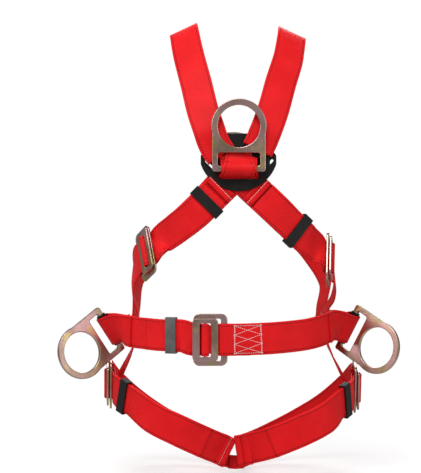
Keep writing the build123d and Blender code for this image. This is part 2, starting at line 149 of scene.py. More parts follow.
# --------------------------------------------------------------------------- places
@dataclass(frozen=True)
class Station:
    """One chosen point of a strap's route.

    Args:
        point: middle of the webbing there.
        facing: the way its outer face looks.
    """

    point: Vector
    facing: Vector


Route = list[Station]


@dataclass(frozen=True)
class Place:
    """A placed frame of axes.

    Args:
        origin: its middle.
        x: direction along the webbing.
        y: direction across the webbing, along a bar.
        z: outward direction.
    """

    origin: Vector
    x: Vector
    y: Vector
    z: Vector

    def at(self, along: float, across: float, out: float) -> Vector:
        """Give the point with these coordinates in the place's own axes."""
        return self.origin + self.x * along + self.y * across + self.z * out

    def lying(self, along: float, out: float, sign: int = 1) -> Station:
        """Give a station of webbing that lies along the place's x direction."""
        return Station(self.at(along, 0, out), self.z * sign)

    def bend(self, along: float, out: float, degrees: float) -> Station:
        """Give a station in a bend, facing at an angle from the x direction."""
        angle = math.radians(degrees)
        return Station(self.at(along, 0, out), self.x * math.cos(angle) + self.z * math.sin(angle))

    def turn(self, along: float, out: float, radius: float, first: float, last: float) -> Route:
        """Give the stations of webbing that turns round a bar."""
        count = 2 + round(abs(last - first) / 30)
        route = []
        for step in range(count):
            angle = math.radians(first + (last - first) * step / (count - 1))
            radial = self.x * math.cos(angle) + self.z * math.sin(angle)
            route.append(Station(self.at(along, 0, out) + radial * radius, radial))
        return route


def station(x: float, y: float, z: float, facing: Sequence[float]) -> Station:
    """Give a station from millimetres on the wearer."""
    return Station(Vector((x, y, z)) * MM, Vector(facing).normalized())


def hung(x: float, y: float, z: float, along: Sequence[float], outward: Sequence[float]) -> Place:
    """Give a place from its x direction and roughly its outward one."""
    x_axis = Vector(along).normalized()
    facing = Vector(outward)
    z_axis = (facing - x_axis * facing.dot(x_axis)).normalized()
    return Place(Vector((x, y, z)) * MM, x_axis, z_axis.cross(x_axis), z_axis)


def upright(x: float, y: float, z: float, facing: Sequence[float]) -> Place:
    """Give a ring's seat: x points up, y lies along the bar."""
    outward = Vector(facing).normalized()
    up = Vector((0, 0, 1))
    return Place(Vector((x, y, z)) * MM, up, outward.cross(up), outward)


def flipped(route: Route) -> Route:
    """Let the same stations look the other way."""
    return [Station(one.point, -one.facing) for one in route]


def laid_on(route: Route, layers: float = 1) -> Route:
    """Lay a strap on another one, a number of layers further out."""
    return [Station(one.point + one.facing * WEBBING.pitch * layers, one.facing) for one in route]


def back_along(route: Route) -> Route:
    """Walk a route from its other end."""
    return list(reversed(route))


# --------------------------------------------------------------------------- stretches of webbing
def threaded(buckle: Place) -> Route:
    """Take webbing in under a buckle, over the small frame's bar and back on itself."""
    radius = math.hypot(BUCKLE.centre_bar, BUCKLE.thickness) / 2
    radius += BUCKLE.turn_clearance + WEBBING.thickness / 2
    thick = WEBBING.thickness
    edge = -BUCKLE.female_width / 2
    inner = -BUCKLE.male_offset + radius
    outer = -BUCKLE.male_offset - radius
    lead = [
        buckle.lying(edge, LEAD_LAYER, -1),
        buckle.lying(inner - 3.5 * thick, LEAD_LAYER, -1),
        buckle.bend(inner - 0.8 * thick, LEAD_LAYER + thick, -45),
        buckle.bend(inner, LEAD_LAYER + 3 * thick, 0),
    ]
    tail = [
        buckle.bend(outer, UNDER_LAYER + 1.6 * thick, 180),
        buckle.bend(outer - 0.5 * thick, UNDER_LAYER + 0.45 * thick, 125),
        buckle.lying(outer - 3 * thick, UNDER_LAYER),
        buckle.lying(edge, UNDER_LAYER),
    ]
    over_bar = buckle.turn(-BUCKLE.male_offset, BUCKLE.male_height, radius, 0, 180)
    return lead + over_bar + tail


def sewn(buckle: Place, doubled: float) -> Route:
    """Fold webbing round the large frame's far bar; the outer layer comes first."""
    edge = BUCKLE.female_width / 2
    fold = -UNDER_LAYER
    merge = edge + 4 * WEBBING.thickness
    return [
        buckle.lying(merge, WEBBING.pitch / 2),
        buckle.lying(edge + WEBBING.thickness, fold),
        *buckle.turn(edge - BUCKLE.side_bar, 0, fold, 90, 270),
        buckle.lying(edge + WEBBING.thickness, -fold, -1),
        buckle.lying(merge, -WEBBING.pitch / 2, -1),
        buckle.lying(merge + doubled, -WEBBING.pitch / 2, -1),
    ]


def kept(keeper: Place) -> Route:
    """Give the straight stretch of the main layer that a keeper slides on."""
    out = -WEBBING.pitch / 2
    return [keeper.lying(step * KEEPER_REACH, out) for step in (-1, 0, 1)]


def wrapped(seat: Place, reach: float, lift: float, sideways: float) -> Route:
    """Take crossed webbing from behind a ring, over its bar and into the plate's slot.

    Args:
        seat: the ring's seat, x up.
        reach: how far above the bar it starts.
        lift: how far it lies outside the webbing that touches the bar first.
        sideways: how far it drifts along the bar on its way.

    Returns:
        The route, whose stations drift from one side of the middle to the other.
    """
    radius = RING.bar_reach + RING.clearance + WEBBING.thickness / 2 + lift
    route = [
        seat.lying(reach, -STRAP_TO_RING),
        seat.lying(radius * 1.9, -STRAP_TO_RING * 0.9 + lift / 2),
        *seat.turn(0, 0, radius, 40, 165),
        seat.bend(-PLATE.slot_drop - lift / 2, -PLATE_TO_RING, 180),
    ]
    last = len(route) - 1
    return [
        Station(one.point + seat.y * sideways * (1 - 2 * index / last), one.facing)
        for index, one in enumerate(route)
    ]


def ring_loop(bar: Place, landing: Route) -> Route:
    """Fold a loop of webbing round a side ring's sleeve and lay both ends on the belt.

    Args:
        bar: the ring's bar; x points from the bar to the belt, y lies along the bar.
        landing: stations of the belt that the loop's ends are sewn to.

    Returns:
        The loop's route, from its inner end to its outer end.
    """
    radius = RING.bar_reach + 2 * RING.clearance + RING.sleeve_wall + WEBBING.thickness / 2
    neck = 2.0 * radius
    throat = WEBBING.pitch / 2 + WEBBING.thickness
    face = 1 if bar.z.dot(landing[0].facing) > 0 else -1
    return (
        back_along(flipped(laid_on(landing, -1)))
        + [bar.lying(neck, -face * throat, -face)]
        + bar.turn(0, 0, radius, -face * 80, -face * 280)
        + [bar.lying(neck, face * throat, face)]
        + laid_on(landing, 1)
    )


def folded_end(route: Route, flap: float) -> Route:
    """Fold a route's last stretch over outwards, so that its end is a rounded ridge."""
    end = route[-1]
    travel = (end.point - route[-2].point).normalized()
    radius = 0.75 * WEBBING.thickness
    centre = end.point + end.facing * radius
    turn = []
    for degrees in (45, 90, 135, 180):
        angle = math.radians(degrees)
        radial = travel * math.sin(angle) - end.facing * math.cos(angle)
        turn.append(Station(centre + radial * radius, -radial))
    top = end.point + end.facing * 2 * radius
    return route + turn + [Station(top - travel * flap, -end.facing)]


def adjusted(path: Route, buckle: Place, tail_from: int) -> Route:
    """Thread a path's webbing through a buckle and lay its tail back along the path."""
    return flipped(path) + threaded(buckle) + back_along(laid_on(path[tail_from:]))


def fixed(path: Route, buckle: Place, doubled: float) -> Route:
    """Take a path's webbing to a buckle's far bar and sew its end back on itself."""
    return path + sewn(buckle, doubled)


# --------------------------------------------------------------------------- the wearer's places
def ring_place(x: float, y: float, z: float, bar: Sequence[float], to_belt: Sequence[float]) -> Place:
    """Give a side ring's bar: x points to the belt, y lies along the bar."""
    across = Vector(bar).normalized()
    leg = Vector(to_belt)
    leg = (leg - across * leg.dot(across)).normalized()
    return Place(Vector((x, y, z)) * MM, leg, across, leg.cross(across))


CHEST_SEAT = upright(0, -131, 239.25, (0, -1, 0))
DORSAL_SEAT = upright(10, 131, 251, (0, 1, 0))
LEFT_RING = ring_place(-184, -16, 9, (0.521, 0.184, -0.833), (22, -24, 2))
RIGHT_RING = ring_place(169, -10, 10.4, (0.415, -0.226, 0.882), (-24, -26, 6))
BELT_BUCKLE = hung(-39.5, -121, 0.5, (1, 0.05, 0), (-0.12, -1, 0))
LEFT_TORSO_BUCKLE = hung(-130, -70, 120.6, (-0.387, 0.83, -0.40), (-0.906, -0.423, 0))
RIGHT_TORSO_BUCKLE = hung(132.8, -62, 111, (0.16, 0.91, -0.38), (0.985, -0.174, 0))
LEFT_LEG_BUCKLE = hung(-183, 6, -70, (-0.05, 0.96, 0.28), (-1, -0.05, 0))
RIGHT_LEG_BUCKLE = hung(180, 6, -78, (0.05, 0.96, 0.28), (1, -0.05, 0))
BELT_KEEPER = hung(-94, -107.5, 6, (1, -0.33, 0), (-0.35, -1, 0))
LEFT_CHEST_KEEPER = hung(-44.6, -120.3, 192.6, (0.70, 0.05, 0.70), (-0.12, -1, 0))
RIGHT_CHEST_KEEPER = hung(84, -110, 153, (-0.707, -0.265, 0.654), (0.40, -1, 0))
LEFT_LEG_KEEPER = hung(-162, -50, -86, (0.62, -0.70, -0.33), (-0.75, -0.65, -0.10))
RIGHT_LEG_KEEPER = hung(160, -50, -93, (-0.585, -0.757, -0.287), (0.75, -0.65, -0.10))
LEFT_LANDING = [
    station(-156.5, -50, 9, (-0.90, -0.42, 0)),
    station(-150, -64, 8, (-0.85, -0.52, 0)),
]
RIGHT_LANDING = [
    station(140.5, -46, 15.5, (0.92, -0.38, 0)),
    station(134, -61, 13, (0.85, -0.52, 0)),
]


# --------------------------------------------------------------------------- routes of the straps
LEFT_SHOULDER = [
    station(-24, -127, 258, (-0.02, -1, 0)),
    station(-31, -126, 268, (-0.05, -1, 0.05)),
    station(-36, -125.5, 278, (-0.06, -1, 0.05)),
    station(-41, -124.3, 293, (-0.08, -1, 0.15)),
    station(-49, -114, 318.6, (-0.15, -1, 0.35)),
    station(-58, -92, 359.4, (-0.20, -1, 0.45)),
    station(-69, -55, 409, (-0.30, -0.85, 0.60)),
    station(-75, -5, 451, (-0.42, 0, 0.90)),
    station(-67, 50, 422.5, (-0.30, 0.75, 0.70)),
    station(-53, 95, 379, (-0.20, 1, 0.45)),
    station(-42, 114, 338, (-0.15, 1, 0.30)),
    station(-30, 124.3, 308, (-0.05, 1, 0.15)),
    station(-25, 125.5, 296, (-0.03, 1, 0.05)),
    station(-20, 126, 284, (0, 1, 0.05)),
]
RIGHT_SHOULDER = [
    station(26, -126, 266, (0.05, -1, 0.05)),
    station(31, -125.5, 276, (0.06, -1, 0.05)),
    station(38, -124.3, 293, (0.08, -1, 0.15)),
    station(48, -114, 319, (0.15, -1, 0.35)),
    station(62, -90, 364, (0.20, -1, 0.45)),
    station(75.6, -55, 402, (0.30, -0.85, 0.60)),
    station(86, -5, 447, (0.42, 0, 0.90)),
    station(85, 50, 413.4, (0.30, 0.75, 0.70)),
    station(78, 95, 384, (0.20, 1, 0.45)),
    station(66, 114, 339, (0.15, 1, 0.30)),
    station(52, 124.3, 308, (0.05, 1, 0.15)),
    station(46, 125.5, 292, (0.03, 1, 0.05)),
    station(41, 126, 280, (0, 1, 0.05)),
]
LEFT_CHEST = [
    station(12, -117.6, 249, (0, -1, 0)),
    station(-19, -117.4, 218, (-0.05, -1, 0)),
    *back_along(kept(LEFT_CHEST_KEEPER)),
    station(-88, -103, 155, (-0.45, -1, 0.05)),
    station(-108, -87, 139, (-0.70, -0.75, 0.05)),
]
RIGHT_CHEST = [
    station(-10, -120.3, 244, (0, -1, 0)),
    station(4, -119.9, 229, (0.02, -1, 0)),
    station(20, -117.6, 213, (0.05, -1, 0)),
    station(33, -117.6, 201, (0.06, -1, 0)),
    station(52, -118.6, 183, (0.15, -1, 0)),
    *back_along(kept(RIGHT_CHEST_KEEPER)),
    station(114, -87, 128, (0.75, -0.65, 0.05)),
]
BELT_LEFT = [
    *LEFT_LANDING,
    station(-128, -88, 7, (-0.60, -0.80, 0)),
    *kept(BELT_KEEPER),
]
BELT_RIGHT = [
    *RIGHT_LANDING,
    station(105, -93, 7, (0.60, -0.80, 0)),
    station(60, -114, 3, (0.25, -1, 0)),
]
BELT_BACK = [
    station(-156, 2, 8, (-0.98, 0.10, 0)),
    station(-158, 45, 2, (-0.92, 0.38, 0)),
    station(-128, 88, -6, (-0.60, 0.80, 0)),
    station(-70, 112, -14, (-0.25, 1, 0)),
    station(0, 119, -17, (0, 1, 0)),
    station(70, 112, -14, (0.25, 1, 0)),
    station(122, 88, -4, (0.60, 0.80, 0)),
    station(149, 45, 8, (0.92, 0.38, 0)),
    station(142, 4, 16, (0.98, 0.05, 0)),
]
LEFT_SIDE = [
    station(-147, -28, 92, (-0.99, -0.10, 0.05)),
    station(-150, -16, 62, (-0.99, -0.05, 0)),
    station(-142, -8, 30, (-1, 0, 0)),
    station(-145, -5, 0, (-1, 0, 0)),
    station(-152, -1, -25, (-0.97, 0, 0.20)),
    station(-163, 10, -50, (-0.97, 0, 0.20)),
    station(-173, 26, -70, (-0.97, 0, 0.20)),
]
RIGHT_SIDE = [
    station(147, -22, 84, (0.99, -0.10, 0.05)),
    station(146, -12, 56, (0.99, -0.05, 0)),
    station(132, -8, 28, (1, 0, 0)),
    station(134, -5, 0, (1, 0, 0)),
    station(143, -1, -25, (0.97, 0, 0.20)),
    station(157, 10, -53, (0.97, 0, 0.20)),
    station(170, 26, -76, (0.97, 0, 0.20)),
]
LEFT_BACK = [
    station(22, 117.4, 266, (0, 1, 0)),
    station(-12, 117.4, 232, (0, 1, 0)),
    station(-28, 117.2, 214, (0, 1, 0)),
    station(-43, 115, 198, (-0.15, 1, 0)),
    station(-80, 106, 163, (-0.40, 1, 0)),
    station(-116, 84, 132, (-0.75, 0.75, 0)),
    station(-142, 52, 82, (-0.95, 0.30, 0)),
    station(-146, 40, 30, (-0.98, 0.20, 0)),
    station(-149, 42, 0, (-0.95, 0.30, 0)),
]
RIGHT_BACK = [
    station(0, 120.3, 262, (0, 1, 0)),
    station(16, 119.9, 246, (0, 1, 0)),
    station(32, 117.6, 230, (0, 1, 0)),
    station(48, 117.2, 213, (0, 1, 0)),
    station(66, 114, 196, (0.15, 1, 0)),
    station(100, 104, 158, (0.40, 1, 0)),
    station(124, 84, 126, (0.75, 0.75, 0)),
    station(142, 52, 78, (0.95, 0.30, 0)),
    station(134, 40, 30, (0.98, 0.20, 0)),
    station(134, 42, 4, (0.95, 0.30, 0)),
]
LEFT_LEG = [
    station(-17, -60, -164, (0, -1, 0)),
    station(-44, -80, -150, (0, -1, 0.05)),
    station(-82, -90, -131, (-0.12, -1, 0)),
    station(-120, -82, -113, (-0.45, -0.90, 0)),
    *back_along(kept(LEFT_LEG_KEEPER)),
]
RIGHT_LEG = [
    station(15, -60, -162, (0, -1, 0)),
    station(49, -80, -150, (0, -1, 0.05)),
    station(92, -90, -131, (0.12, -1, 0)),
    station(128, -82, -114, (0.45, -0.90, 0)),
    *back_along(kept(RIGHT_LEG_KEEPER)),
]
LEFT_THIGH = [
    station(-176, 62, -80, (-0.85, 0.52, 0)),
    station(-148, 88, -112, (-0.50, 0.85, 0)),
    station(-100, 97, -146, (-0.15, 1, 0)),
    station(-50, 80, -168, (0, 1, 0)),
    station(-13, 45, -178, (0, 1, 0)),
]
RIGHT_THIGH = [
    station(174, 64, -88, (0.85, 0.52, 0)),
    station(148, 88, -118, (0.50, 0.85, 0)),
    station(105, 97, -146, (0.15, 1, 0)),
    station(55, 80, -168, (0, 1, 0)),
    station(17, 45, -178, (0, 1, 0)),
]
LEFT_INNER = [
    station(-30, -67.2, -157.4, (0, -1, 0)),
    station(-17, -57.2, -164, (0.35, -1, 0)),
    station(-11, -44, -168, (1, -0.5, 0)),
    station(-10, 0, -174, (1, 0, 0)),
    station(-11, 30, -177, (1, 0.3, 0)),
    station(-15.5, 42.8, -177.6, (0.8, 0.7, 0)),
    station(-25, 52.5, -175, (0.69, 0.72, 0)),
]
RIGHT_INNER = [
    station(31, -67, -156.5, (0, -1, 0)),
    station(15, -57.2, -162, (-0.35, -1, 0)),
    station(12, -44, -167, (-1, -0.5, 0)),
    station(12, 0, -174, (-1, 0, 0)),
    station(13, 30, -177, (-1, 0.3, 0)),
    station(18.5, 42.8, -177.6, (-0.8, 0.7, 0)),
    station(28, 52.5, -175, (-0.69, 0.72, 0)),
]
CROTCH_LINK = [
    station(-10, -45, -170, (0, 1, 0)),
    station(0, -44, -171, (0, 1, 0)),
    station(11, -45, -170, (0, 1, 0)),
]


# --------------------------------------------------------------------------- ribbons
@dataclass(frozen=True)
class Section:
    """One cross-section of a ribbon.

    Args:
        middle: its middle.
        across: the direction of its width.
        outward: the way its outer face looks.
        run: length of webbing from the start.
    """

    middle: Vector
    across: Vector
    outward: Vector
    run: float


def velocities(points: Sequence[Vector]) -> list[Vector]:
    """Give the direction of travel at each point, weighted by the spacing."""
    result = [(points[1] - points[0]).normalized()]
    for before, here, after in zip(points, points[1:], points[2:]):
        back = here - before
        ahead = after - here
        blend = ahead * (back.length / ahead.length) + back * (ahead.length / back.length)
        result.append(blend / (back.length + ahead.length))
    result.append((points[-1] - points[-2]).normalized())
    return result


def sections_along(route: Route, spacing: float) -> list[Section]:
    """Walk a smooth curve through a route's stations and cut it into sections.

    Args:
        route: the stations.
        spacing: the largest distance between two sections.

    Returns:
        The sections, in the order of travel.
    """
    points = [one.point for one in route]
    speeds = velocities(points)
    path: list[tuple[Vector, Vector]] = []
    for index in range(len(route) - 1):
        start, end = route[index], route[index + 1]
        span = (end.point - start.point).length
        steps = max(2, math.ceil(span / spacing))
        for step in range(steps):
            t = step / steps
            point = start.point * (2 * t ** 3 - 3 * t ** 2 + 1)
            point = point + speeds[index] * (span * (t ** 3 - 2 * t ** 2 + t))
            point = point + end.point * (3 * t ** 2 - 2 * t ** 3)
            point = point + speeds[index + 1] * (span * (t ** 3 - t ** 2))
            path.append((point, start.facing * (1 - t) + end.facing * t))
    path.append((route[-1].point, route[-1].facing))
    travels = velocities([point for point, _ in path])
    sections = []
    run = 0.0
    for index, ((point, facing), travel) in enumerate(zip(path, travels)):
        if index:
            run += (point - path[index - 1][0]).length
        along = travel.normalized()
        outward = (facing - along * facing.dot(along)).normalized()
        sections.append(Section(point, along.cross(outward), outward, run))
    return sections


def creases(point: Vector) -> float:
    """Give how far worn webbing lies off its smooth route at a point in space."""
    broad = noise.noise(point * 38.0)
    fine = noise.noise(point * 120.0 + Vector((7, 3, 5)))
    return broad * 0.38 * MM + fine * 0.10 * MM


@dataclass
class Ribbon:
    """A woven strap, made as one closed mesh with rounded edges.

    Args:
        name: the piece's name.
        route: its stations.
        nodes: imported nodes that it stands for.
        width: its width.
        thickness: its thickness.
        spacing: the largest distance between two of its sections.
        body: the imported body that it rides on.
    """

    name: str
    route: Route
    nodes: tuple[str, ...] = ()
    width: float = WEBBING.width
    thickness: float = WEBBING.thickness
    spacing: float = 3.2 * MM
    body: str = FIXED_BODY
    sections: list[Section] = field(init=False)

    def __post_init__(self) -> None:
        self.sections = sections_along(self.route, self.spacing)

    def profile(self) -> list[tuple[float, float]]:
        """Give the outline of a section as pairs of distance across and out."""
        half = self.thickness / 2
        flat = self.width / 2 - half
        columns = 10
        outline = [(flat * (2 * step / columns - 1), half) for step in range(columns + 1)]
        outline += [
            (flat + half * math.sin(math.radians(turn)), half * math.cos(math.radians(turn)))
            for turn in (45, 90, 135)
        ]
        return outline + [(-across, -out) for across, out in outline]

    def build(self, material: bpy.types.Material) -> bpy.types.Object:
        """Make the ribbon's object, let it ride and stand for its nodes."""
        outline = self.profile()
        count = len(outline)
        points: list[Vector] = []
        for one in self.sections:
            offset = creases(one.middle)
            lifted = one.middle + one.outward * offset
            points += [lifted + one.across * across + one.outward * out for across, out in outline]
        faces = []
        for row in range(len(self.sections) - 1):
            for column in range(count):
                following = (column + 1) % count
                here, ahead = row * count, (row + 1) * count
                faces.append((here + column, here + following, ahead + following, ahead + column))
        faces.append(tuple(reversed(range(count))))
        faces.append(tuple(range((len(self.sections) - 1) * count, len(self.sections) * count)))
        mesh = bpy.data.meshes.new(self.name)
        mesh.from_pydata([tuple(point) for point in points], [], faces)
        self.lay_out(mesh, outline)
        mesh.polygons.foreach_set("use_smooth", [len(face) == 4 for face in faces])
        mesh.materials.append(material)
        obj = bpy.data.objects.new(self.name, mesh)
        bpy.context.scene.collection.objects.link(obj)
        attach(obj, self.body)
        if self.nodes:
            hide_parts(*self.nodes)
        return obj

    def lay_out(self, mesh: bpy.types.Mesh, outline: Sequence[tuple[float, float]]) -> None:
        """Write the length and width of webbing into the mesh's UV, in metres."""
        layer = mesh.uv_layers.new(name="weave")
        for loop in mesh.loops:
            row, column = divmod(loop.vertex_index, len(outline))
            layer.data[loop.index].uv = (self.sections[row].run, outline[column][0])

    def face_point(self, run: float, across: float, side: int = 1, lift: float = 0.0) -> Station:
        """Give a point on one face of the ribbon.

        Args:
            run: length of webbing from the start.
            across: distance from the middle line.
            side: 1 for the outer face, -1 for the inner one.
            lift: height over the face.

        Returns:
            The point and the face's outward direction there.
        """
        index = 1
        while index < len(self.sections) - 1 and self.sections[index].run < run:
            index += 1
        before, after = self.sections[index - 1], self.sections[index]
        t = (run - before.run) / (after.run - before.run)
        middle = before.middle.lerp(after.middle, t)
        outward = before.outward.lerp(after.outward, t).normalized()
        width_way = before.across.lerp(after.across, t).normalized()
        height = side * (self.thickness / 2 + lift) + creases(middle)
        return Station(middle + width_way * across + outward * height, outward * side)

    @property
    def length(self) -> float:
        """Length of webbing from end to end."""
        return self.sections[-1].run


# --------------------------------------------------------------------------- shader maths
Number = Union[float, "Signal"]


class Signal:
    """A value in a node tree, with arithmetic that adds the nodes it needs."""

    def __init__(self, tree: bpy.types.NodeTree, socket: bpy.types.NodeSocket) -> None:
        self.tree = tree
        self.socket = socket

    def node(self, kind: str, inputs: dict[int, object], **settings: object) -> bpy.types.Node:
        """Add any other node and fill its inputs with signals or constants."""
        made = self.tree.nodes.new(kind)
        for setting, value in settings.items():
            setattr(made, setting, value)
        for index, value in inputs.items():
            if isinstance(value, Signal):
                self.tree.links.new(value.socket, made.inputs[index])
            else:
                made.inputs[index].default_value = value
        return made

    def maths(self, operation: str, *values: Number) -> "Signal":
        """Apply one operation of the maths node."""
        made = self.node("ShaderNodeMath", dict(enumerate(values)), operation=operation)
        return Signal(self.tree, made.outputs[0])

    def __add__(self, other: Number) -> "Signal":
        return self.maths("ADD", self, other)

    def __sub__(self, other: Number) -> "Signal":
        return self.maths("SUBTRACT", self, other)

    def __mul__(self, other: Number) -> "Signal":
        return self.maths("MULTIPLY", self, other)

    def __truediv__(self, other: Number) -> "Signal":
        return self.maths("DIVIDE", self, other)

    def __radd__(self, other: Number) -> "Signal":
        return self.maths("ADD", other, self)

    def __rsub__(self, other: Number) -> "Signal":
        return self.maths("SUBTRACT", other, self)

    def __rmul__(self, other: Number) -> "Signal":
        return self.maths("MULTIPLY", other, self)

    def wave(self) -> "Signal":
        """Give the sine."""
        return self.maths("SINE", self)

    def fraction(self) -> "Signal":
        """Give the part after the point."""
        return self.maths("FRACT", self)

    def size(self) -> "Signal":
        """Give the absolute value."""
        return self.maths("ABSOLUTE", self)

    def below(self, limit: Number) -> "Signal":
        """Give 1 where the value is below a limit, else 0."""
        return self.maths("LESS_THAN", self, limit)

    def ramp(self, low: float, high: float) -> "Signal":
        """Rise smoothly from 0 to 1 between two values."""
        made = self.node(
            "ShaderNodeMapRange", {0: self, 1: low, 2: high}, interpolation_type="SMOOTHSTEP"
        )
        return Signal(self.tree, made.outputs[0])


Colour = tuple[float, float, float]


class Shading:
    """A material's node tree, with its surface shader and its sources."""

    def __init__(self, name: str, **constants: object) -> None:
        """Make the material.

        Args:
            name: the material's name.
            constants: constant values for the surface shader, by socket name with
                underscores for spaces.
        """
        self.material = bpy.data.materials.new(name)
        self.material.use_nodes = True
        self.tree = self.material.node_tree
        self.surface = self.tree.nodes["Principled BSDF"]
        for socket, value in constants.items():
            self.surface.inputs[socket.replace("_", " ")].default_value = value

    def source(self, kind: str, output: str, **settings: object) -> Signal:
        """Add a node that has no inputs to fill and give one of its outputs."""
        made = self.tree.nodes.new(kind)
        for setting, value in settings.items():
            setattr(made, setting, value)
        return Signal(self.tree, made.outputs[output])

    def place(self) -> Signal:
        """Give the object's own coordinates."""
        return self.source("ShaderNodeTexCoord", "Object")

    def woven(self) -> tuple[Signal, Signal]:
        """Give the length and width of webbing at a point, in metres."""
        uv = self.source("ShaderNodeUVMap", "UV", uv_map="weave")
        split = uv.node("ShaderNodeSeparateXYZ", {0: uv})
        return Signal(self.tree, split.outputs[0]), Signal(self.tree, split.outputs[1])

    def clouds(self, scale: float, detail: float = 2.0) -> Signal:
        """Give soft noise over the object's own coordinates."""
        where = self.place()
        made = where.node("ShaderNodeTexNoise", {0: where, 2: scale, 3: detail})
        return Signal(self.tree, made.outputs[0])

    def mixed(self, share: Signal, low: Union[Colour, Signal], high: Union[Colour, Signal]) -> Signal:
        """Mix two colours."""
        made = self.tree.nodes.new("ShaderNodeMix")
        made.data_type = "RGBA"
        self.tree.links.new(share.socket, made.inputs[0])
        for index, colour in ((6, low), (7, high)):
            if isinstance(colour, Signal):
                self.tree.links.new(colour.socket, made.inputs[index])
            else:
                made.inputs[index].default_value = (*colour, 1.0)
        return Signal(self.tree, made.outputs[2])

    def drive(self, socket: str, signal: Signal) -> None:
        """Let a signal vary one of the surface shader's inputs."""
        self.tree.links.new(signal.socket, self.surface.inputs[socket])

    def emboss(self, height: Signal, depth: float) -> None:
        """Raise the surface by a height signal, in metres at its full value."""
        bump = self.tree.nodes.new("ShaderNodeBump")
        bump.inputs["Distance"].default_value = depth
        self.tree.links.new(height.socket, bump.inputs["Height"])
        self.tree.links.new(bump.outputs["Normal"], self.surface.inputs["Normal"])


# --------------------------------------------------------------------------- finishes
class Slot(Enum):
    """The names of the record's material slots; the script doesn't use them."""

    WEBBING = "webbing"
    ZINC = "zinc_steel"
    PLASTIC = "black_plastic"
    KEEPER = "belt_keeper_plastic"


@dataclass(frozen=True)
class WebbingFinish:
    """Red woven polyester with slanted ribs, and a darker dashed seam near each edge."""

    colour: Colour = (0.76, 0.007, 0.010)
    shade: Colour = (0.56, 0.003, 0.005)
    seam_colour: Colour = (0.10, 0.001, 0.002)
    rib_spacing: float = 2.9 * MM
    rib_slant: float = 0.28
    yarn_spacing: float = 0.9 * MM
    seam_pitch: float = 3.6 * MM
    seam_stitch: float = 0.64
    seam_width: float = 0.62 * MM

    def make(self) -> bpy.types.Material:
        """Make the material."""
        shading = Shading("woven_webbing", Roughness=0.58, Specular_IOR_Level=0.16)
        run, across = shading.woven()
        slanted = run + across * self.rib_slant
        ribs = (slanted * (2 * math.pi / self.rib_spacing)).wave() * 0.5 + 0.5
        yarns = (across * (2 * math.pi / self.yarn_spacing)).wave() * 0.5 + 0.5
        patches = shading.clouds(26.0).ramp(0.35, 0.7)
        tone = ribs * 0.30 + yarns * 0.05 + patches * 0.35 + 0.25
        cloth = shading.mixed(tone, self.shade, self.colour)
        off_seam = (across.size() - (WEBBING.width / 2 - WEBBING.seam_inset)).size()
        on_line = off_seam.below(self.seam_width)
        dashes = (run / self.seam_pitch).fraction().below(self.seam_stitch)
        stitched = on_line * dashes
        shading.drive("Base Color", shading.mixed(stitched * 0.85, cloth, self.seam_colour))
        groove = off_seam.below(2.0 * self.seam_width)
        shading.emboss(ribs * 0.55 + yarns * 0.2 - groove * 0.7 + stitched * 0.4, 0.22 * MM)
        return shading.material


@dataclass(frozen=True)
class ZincFinish:
    """Yellow zinc plating on pressed steel, with its uneven rainbow tint."""

    brown: Colour = (0.34, 0.24, 0.18)
    lilac: Colour = (0.52, 0.34, 0.33)
    olive: Colour = (0.38, 0.38, 0.12)
    gold: Colour = (0.64, 0.50, 0.22)

    def make(self) -> bpy.types.Material:
        """Make the material."""
        shading = Shading("yellow_zinc_steel", Metallic=1.0)
        base = shading.mixed(shading.clouds(22.0).ramp(0.38, 0.62), self.brown, self.lilac)
        greened = shading.mixed(shading.clouds(31.0).ramp(0.52, 0.68) * 0.75, base, self.olive)
        gilded = shading.mixed(shading.clouds(47.0).ramp(0.55, 0.72) * 0.6, greened, self.gold)
        shading.drive("Base Color", gilded)
        grain = shading.clouds(900.0, 3.0)
        shading.drive("Roughness", grain * 0.12 + shading.clouds(60.0) * 0.10 + 0.22)
        shading.emboss(grain * 0.6 + shading.clouds(150.0) * 0.4, 0.05 * MM)
        return shading.material


@dataclass(frozen=True)
class PlasticFinish:
    """Moulded plastic with a fine grain.

    Args:
        name: the material's name.
        colour: its colour.
        roughness: its middle roughness.
    """

    name: str
    colour: Colour
    roughness: float

    def make(self) -> bpy.types.Material:
        """Make the material."""
        shading = Shading(self.name, Specular_IOR_Level=0.22)
        worn = tuple(1.6 * channel + 0.002 for channel in self.colour)
        shading.drive("Base Color", shading.mixed(shading.clouds(40.0).ramp(0.4, 0.8), self.colour, worn))
        grain = shading.clouds(1400.0, 2.0)
        shading.drive("Roughness", grain * 0.15 + self.roughness)
        shading.emboss(grain, 0.06 * MM)
        return shading.material


@dataclass(frozen=True)
class ThreadFinish:
    """Off-white sewing thread."""

    colour: Colour = (0.86, 0.74, 0.72)

    def make(self) -> bpy.types.Material:
        """Make the material."""
        shading = Shading("sewing_thread", Roughness=0.7, Sheen_Weight=0.2)
        faded = tuple(0.82 * channel for channel in self.colour)
        shading.drive("Base Color", shading.mixed(shading.clouds(300.0), faded, self.colour))
        return shading.material


@dataclass(frozen=True)
class Finishes:
    """The materials that the pieces share."""

    webbing: bpy.types.Material
    zinc: bpy.types.Material
    plastic: bpy.types.Material
    keeper: bpy.types.Material
    thread: bpy.types.Material

    @classmethod
    def make(cls) -> "Finishes":
        """Make all the materials."""
        return cls(
            webbing=WebbingFinish().make(),
            zinc=ZincFinish().make(),
            plastic=PlasticFinish("black_plastic", (0.0045, 0.0045, 0.004), 0.46).make(),
            keeper=PlasticFinish("grey_keeper_plastic", (0.080, 0.078, 0.074), 0.50).make(),
            thread=ThreadFinish().make(),
        )


